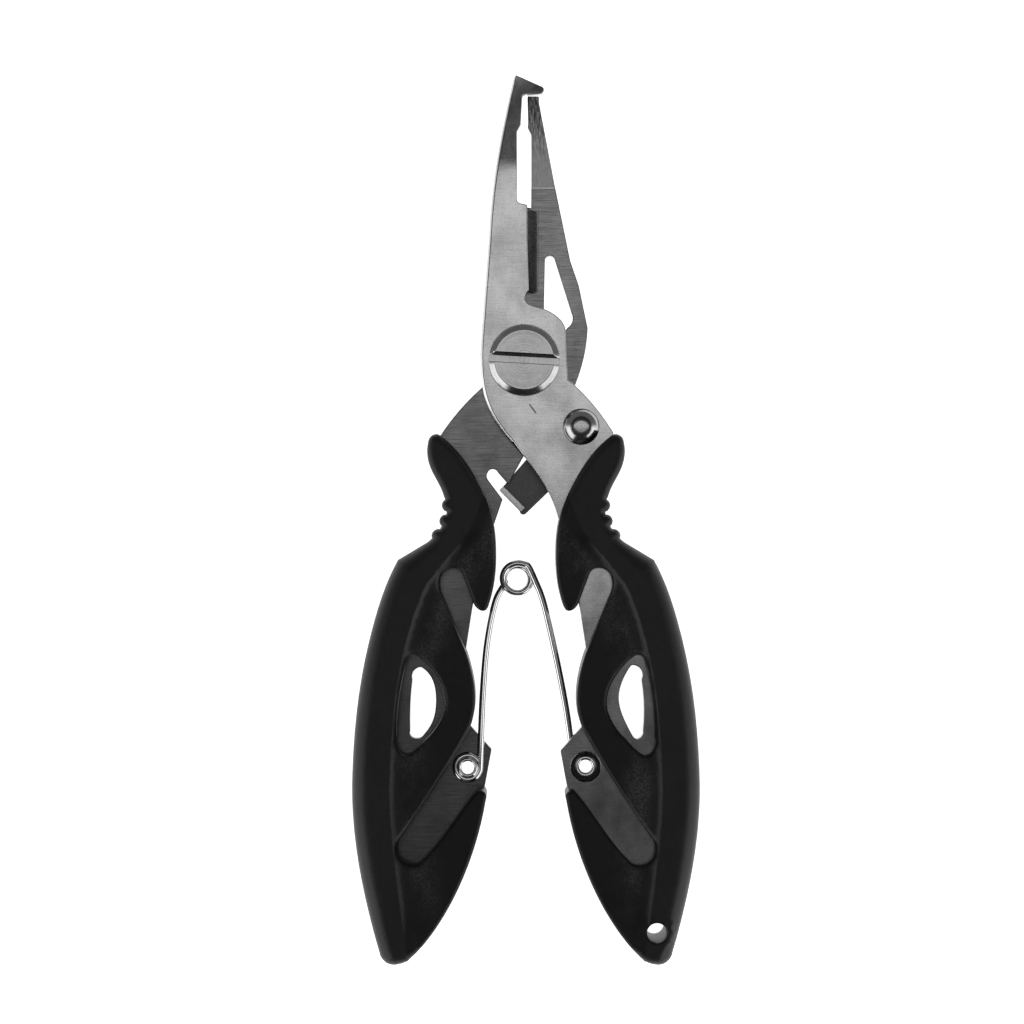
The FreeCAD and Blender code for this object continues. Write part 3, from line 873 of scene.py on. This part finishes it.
# %% Shape of the grip's face
CREST = [(3.5, 9.0), (6.0, 3.0), (8.2, -2.0), (12.4, -7.3), (15.0, -11.7), (17.8, -22.4),
         (19.0, -37.0), (18.3, -48.0), (16.7, -60.3), (15.8, -66.0)]
LIP = 0.22 * MM
LIP_WIDTH = 0.22 * MM
SUNK = 0.62 * MM
WALL_WIDTH = 2.3 * MM
RISE = 0.3 * MM
RISE_WIDTH = 6.0 * MM
CROWN = 0.018 / MM
WALL_CURVE = 1.6
CREST_TOP = (-1.0 * MM, -7.0 * MM)
CREST_END = (-60.5 * MM, -54.0 * MM)
BAND_ROUND = 2.3 * MM
NECK_ROUND = 1.1 * MM
NECK_END = -3.2 * MM
THROAT_ROUND = 0.55 * MM
HOLLOW_SHEEN_WIDTH = 7.0 * MM
EYE_ROUND = 0.6 * MM
HOLE_ROUND = 0.35 * MM
grip_low, grip_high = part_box("grip_right")
GRIP_MIDDLE = (grip_low[2] + grip_high[2]) / 2
HALF_DEPTH = (grip_high[2] - grip_low[2]) / 2


def smooth_line(points, per_span=14):
    """Catmull-Rom curve through points given in millimetres, as points in metres."""
    spots = [Vector(p) * MM for p in points]
    spots = [spots[0] * 2 - spots[1]] + spots + [spots[-1] * 2 - spots[-2]]
    line = []
    for a, b, c, d in zip(spots, spots[1:], spots[2:], spots[3:]):
        for i in range(per_span):
            t = i / per_span
            line.append(0.5 * (2 * b + (c - a) * t + (2 * a - 5 * b + 4 * c - d) * t**2
                               + (3 * b - a - 3 * c + d) * t**3))
    return line + [spots[-2]]


crest_line = smooth_line(CREST)
crest_fence = fence([crest_line])
IN_THE_HOLLOW = Vector((10 * MM, -30 * MM))
CREST_SIDE = math.copysign(1.0, distance(crest_fence, IN_THE_HOLLOW)[2])


def beyond_crest(spot):
    """Distance past the crest: positive on the sunk inner side, negative on the outer band."""
    return distance(crest_fence, spot)[2] * CREST_SIDE


def sunk_depth(spot):
    """How far the face lies below the crest at a place in the plan.

    The band outside the crest is slightly crowned. Inside, a small lip leads to a sloping wall.
    """
    past = beyond_crest(spot)
    share = (1 - eased(spot.y, CREST_TOP[1], CREST_TOP[0])) * eased(spot.y, *CREST_END)
    if past <= 0:
        return CROWN * past**2 * share
    wall = LIP * min(1.0, past / LIP_WIDTH) + SUNK * (1 - (1 - min(1.0, past / WALL_WIDTH)) ** WALL_CURVE)
    rise = RISE * eased(past, WALL_WIDTH * 0.8, WALL_WIDTH + RISE_WIDTH)
    return (wall - rise) * share


def hollow_sheen_share(spot):
    """Mask of the painted sheen: 1 just inside the foot of the crest's wall, fading to 0 towards the windows."""
    past = beyond_crest(spot)
    low = eased(spot.y, -58 * MM, -50 * MM) * (1 - eased(spot.y, -4 * MM, 4 * MM))
    return eased(past, 0.8 * MM, 2.2 * MM) * (1 - eased(past, 3.0 * MM, HOLLOW_SHEEN_WIDTH)) * low


def edge_round(spot):
    """Radius of the rounded edge at a place on the outer outline."""
    if beyond_crest(spot) > 0:
        return THROAT_ROUND
    return NECK_ROUND if spot.y > NECK_END else BAND_ROUND


def softened(values, reach):
    """Running average round a loop, so that one radius runs smoothly into the next."""
    count = len(values)
    return [sum(values[(i + k) % count] for k in range(-reach, reach + 1)) / (2 * reach + 1)
            for i in range(count)]


# %% [markdown]
# The edge is a quarter round, so rows of points at equal turns of that round catch its shape. A
# point of a row is kept only if no other part of the edge is nearer.

# %% Build one face and its mirror image behind
ROUND_ROWS = 7
CREST_ROWS = [-0.3, -0.1, 0.0, 0.11, 0.22, 0.34, 0.6, 0.95, 1.3, 1.7, 2.1, 2.4]
CREST_ROOM = 0.1 * MM
WALL_ROWS = 5
GRID_ROW = POINT_GAP * 0.87
CELL = 0.12 * MM


class GripFace:
    """Outlines of a grip, with the rounding of their edges and the height of the face between."""

    def __init__(self, node, side):
        raw = section_loops(node, OUTLINE_HEIGHT, side)
        self.loops = []
        self.rounds = []
        for i, loop in enumerate(raw):
            anticlockwise = area(loop) > 0
            loop = evenly(loop, POINT_GAP)
            if anticlockwise != (i == 0):
                loop.reverse()
            fixed = {1: EYE_ROUND, 2: HOLE_ROUND}.get(i)
            radii = [fixed or edge_round(p) for p in loop]
            self.loops.append(loop)
            self.rounds.append(softened(radii, 8))
        self.fence = fence([loop + loop[:1] for loop in self.loops])
        self.flat_rounds = [r for radii in self.rounds for r in radii]

    def height(self, spot):
        """Height of the face above the middle of the grip."""
        index, gap, _ = distance(self.fence, spot)
        radius = self.flat_rounds[index]
        inset = max(0.0, radius - gap)
        fall = radius - math.sqrt(max(0.0, radius**2 - inset**2))
        return HALF_DEPTH - sunk_depth(spot) - fall

    def row_points(self):
        """Rows that follow every edge, at equal turns of its round."""
        for loop, radii in zip(self.loops, self.rounds):
            for i, spot in enumerate(loop):
                along = loop[(i + 1) % len(loop)] - loop[i - 1]
                inward = Vector((-along.y, along.x)).normalized()
                for row in range(1, ROUND_ROWS + 1):
                    gap = radii[i] * (1 - math.cos(math.radians(90 * row / ROUND_ROWS)))
                    place = spot + inward * gap
                    if distance(self.fence, place)[1] > gap * 0.97:
                        yield place, min(POINT_GAP, gap) * 0.4

    def crest_points(self):
        """Rows that follow the crest."""
        chain = evenly_open(crest_line, POINT_GAP)
        for here, there in zip(chain, chain[1:]):
            aside = Vector((there.y - here.y, here.x - there.x)).normalized() * -CREST_SIDE
            for row in CREST_ROWS:
                place = here + aside * row * MM
                if inside(place, self.loops[0]):
                    yield place, CREST_ROOM

    def grid_points(self):
        """An even triangular grid over the whole face."""
        xs = [p.x for p in self.loops[0]]
        ys = [p.y for p in self.loops[0]]
        for j in range(int((max(ys) - min(ys)) / GRID_ROW)):
            for i in range(int((max(xs) - min(xs)) / POINT_GAP) + 1):
                place = Vector((min(xs) + POINT_GAP * (i + 0.5 * (j % 2)), min(ys) + GRID_ROW * j))
                if inside(place, self.loops[0]):
                    yield place, POINT_GAP * 0.6


def inside(spot, loop):
    """True when the place is inside a closed loop."""
    odd = False
    for a, b in zip(loop, loop[1:] + loop[:1]):
        if (a.y > spot.y) != (b.y > spot.y):
            if spot.x < a.x + (spot.y - a.y) * (b.x - a.x) / (b.y - a.y):
                odd = not odd
    return odd


def thinned(shape):
    """All points of a face: its outlines first, then each other point that has room."""
    points = [p for loop in shape.loops for p in loop]
    taken = {}

    def has_room(spot, room):
        reach = int(room / CELL) + 1
        cx, cy = int(spot.x // CELL), int(spot.y // CELL)
        for i in range(cx - reach, cx + reach + 1):
            for j in range(cy - reach, cy + reach + 1):
                if any((spot - other).length < room for other in taken.get((i, j), ())):
                    return False
        return True

    def take(spot):
        taken.setdefault((int(spot.x // CELL), int(spot.y // CELL)), []).append(spot)

    for spot in points:
        take(spot)
    for source in (shape.row_points(), shape.crest_points(), shape.grid_points()):
        for spot, room in source:
            if any(inside(spot, hole) for hole in shape.loops[1:]):
                continue
            if has_room(spot, room):
                take(spot)
                points.append(spot)
    return points


def grip_mesh(node, side):
    """Closed shell of a grip: its face, the mirror image behind it and the walls between."""
    shape = GripFace(node, side)
    points = thinned(shape)
    rings = []
    first = 0
    for loop in shape.loops:
        rings.append(list(range(first, first + len(loop))))
        first += len(loop)
    fixed = [(a, b) for ring in rings for a, b in zip(ring, ring[1:] + ring[:1])]
    spots, _, faces, origins, _, _ = delaunay_2d_cdt(points, fixed, [], 1, 1e-9)
    where = {old: new for new, olds in enumerate(origins) for old in olds}
    rings = [[where[i] for i in ring] for ring in rings]
    holes = [set(ring) for ring in rings[1:]]
    faces = [f for f in faces if not any(hole.issuperset(f) for hole in holes)]
    mesh = bmesh.new()
    for name in ("hollow_sheen", "band_sheen"):
        mesh.verts.layers.float.new(name)
    hollow_sheen, band_sheen = (mesh.verts.layers.float[name] for name in ("hollow_sheen", "band_sheen"))
    heights = [shape.height(s) for s in spots]
    front = [mesh.verts.new((side * s.x, s.y, GRIP_MIDDLE + h)) for s, h in zip(spots, heights)]
    back = [mesh.verts.new((side * s.x, s.y, GRIP_MIDDLE - h)) for s, h in zip(spots, heights)]
    for spot, above, below in zip(spots, front, back):
        # painted sheen: masks for the lighter hollow and band of the grip
        above[hollow_sheen] = below[hollow_sheen] = hollow_sheen_share(spot)
        above[band_sheen] = below[band_sheen] = 1 - eased(beyond_crest(spot), -0.2 * MM, 0.3 * MM)
    for face in faces:
        mesh.faces.new([front[i] for i in face])
        mesh.faces.new([back[i] for i in reversed(face)])
    for ring in rings:
        levels = [[front[i] for i in ring]]
        for row in range(1, WALL_ROWS):
            share = 1 - 2 * row / WALL_ROWS
            levels.append([mesh.verts.new((side * spots[i].x, spots[i].y, GRIP_MIDDLE + heights[i] * share))
                           for i in ring])
        levels.append([back[i] for i in ring])
        for upper, lower in zip(levels, levels[1:]):
            for i in range(len(ring)):
                j = (i + 1) % len(ring)
                mesh.faces.new((upper[i], upper[j], lower[j], lower[i]))
    loose = [v for v in mesh.verts if not v.link_faces]
    bmesh.ops.delete(mesh, geom=loose, context="VERTS")
    bmesh.ops.recalc_face_normals(mesh, faces=mesh.faces)
    open_edges = sum(1 for e in mesh.edges if len(e.link_faces) != 2)
    print(f"{node}: {len(points)} face points, {len(mesh.faces)} faces, {open_edges} open edges")
    made = bpy.data.meshes.new(node + "_moulding")
    mesh.to_mesh(made)
    mesh.free()
    for polygon in made.polygons:
        polygon.use_smooth = True
    return made


# %% Both grips
for node, side, body in (("grip_right", 1, "front_lever"), ("grip_left", -1, "rear_lever")):
    show(f"moulded_{node}", grip_mesh(node, side), grip_black, body, "grip_black", node)

# %% [markdown]
# ## Studio
# Small bright metal things are lit with big soft sources. A soft box hangs over the tool and fades
# towards the handles. Two more stand low, left and right in front of it, and light the rounded edges,
# and a dim card stands behind. The dark room between them gives the polished parts something to
# contrast with. The table is a plain pale light board, which glows softly, so that no shadow dirties
# the openings of the tool.

# %% Table
FLOOR_HALF = 0.45
floor_mesh = bpy.data.meshes.new("table_top")
floor_corners = [(x * FLOOR_HALF, y * FLOOR_HALF, 0) for x, y in ((-1, -1), (1, -1), (1, 1), (-1, 1))]
floor_mesh.from_pydata(floor_corners, [], [(0, 1, 2, 3)])
table_top = bpy.data.objects.new("table_top", floor_mesh)
bpy.context.scene.collection.objects.link(table_top)
table_top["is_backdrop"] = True


def pale_board(place):
    fibres = grain(place, 300, 300, 300, 2.0)
    return {"Base Color": blend_colour(fibres, 0.90, 0.94)}


board = finish("pale_board", pale_board, Roughness=0.9, Specular_IOR_Level=0.1,
               Emission_Color=(1, 1, 1, 1), Emission_Strength=1.05)
floor_mesh.materials.append(board)

# %% Sky
OVERHEAD = 1.3
BOX_DIM_END = 0.09
BOX_STRETCH = 0.53
SIDE_BOX = 2.3
FAR_CARD = 0.20
DARKNESS = 0.04


def studio_sky(tree):
    """Brightness of the sky by direction: a soft box overhead, two low in front, a dim card behind."""
    facing = add_node(tree, "ShaderNodeTexCoord", {}, {}, "Generated")
    x, y, z = apart(facing)
    away = y + 0.02
    aside = (x * x * BOX_STRETCH**2 + away * away).math("SQRT")
    box = (1 - aside.smooth(0.17, 0.27)) * (y.smooth(-0.08, 0.06) * (1 - BOX_DIM_END) + BOX_DIM_END)
    level = (x * x + y * y).math("SQRT")
    ahead = y / level
    boxes = (1 - ahead.smooth(-0.15, 0.25)) * ahead.smooth(-0.88, -0.78)
    belt = (1 - z).smooth(0.28, 0.36)
    far = ahead.smooth(-0.1, 0.3) * FAR_CARD
    return box * OVERHEAD + belt * (boxes * SIDE_BOX + far) + DARKNESS


world = bpy.data.worlds.new("studio_sky")
world.use_nodes = True
bpy.context.scene.world = world
sky_value = studio_sky(world.node_tree)
background = world.node_tree.nodes["Background"]
world.node_tree.links.new(sky_value.socket, background.inputs["Color"])
print(f"sky: {len(world.node_tree.nodes)} nodes")

# %% [markdown]
# ## Camera
# The tool is seen from straight above through a long lens, so that nothing leans.

# %% Camera
LENS = 100.0
SENSOR = 36.0
VIEW_WIDTH = 144.3 * MM
AIM = (-1.96 * MM, 0.92 * MM)
jaw_tip_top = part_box("rear_lever")[1][2]
camera_data = bpy.data.cameras.new("overhead")
camera_data.lens = LENS
camera_data.sensor_width = SENSOR
camera_data.clip_start = 0.01
camera_data.clip_end = 10.0
camera = bpy.data.objects.new("overhead", camera_data)
camera.location = (*AIM, jaw_tip_top + VIEW_WIDTH * LENS / SENSOR)
bpy.context.scene.collection.objects.link(camera)
bpy.context.scene.camera = camera
bpy.context.scene.view_settings.view_transform = "Standard"
print(f"camera: {round(camera.location.z / MM)} mm above the table")

# %% [markdown]
# ## Size
# The boxes of the imported model and of the finished pieces are printed, in millimetres.
# The finished pieces must fill the imported model's box and no more.

# %% Print both boxes
boxes = {"cad": [list(c) for c in cad_box], "visual": [list(c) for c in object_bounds()]}
print("boxes in mm:", {k: [[round(x / MM, 2) for x in c] for c in v] for k, v in boxes.items()})
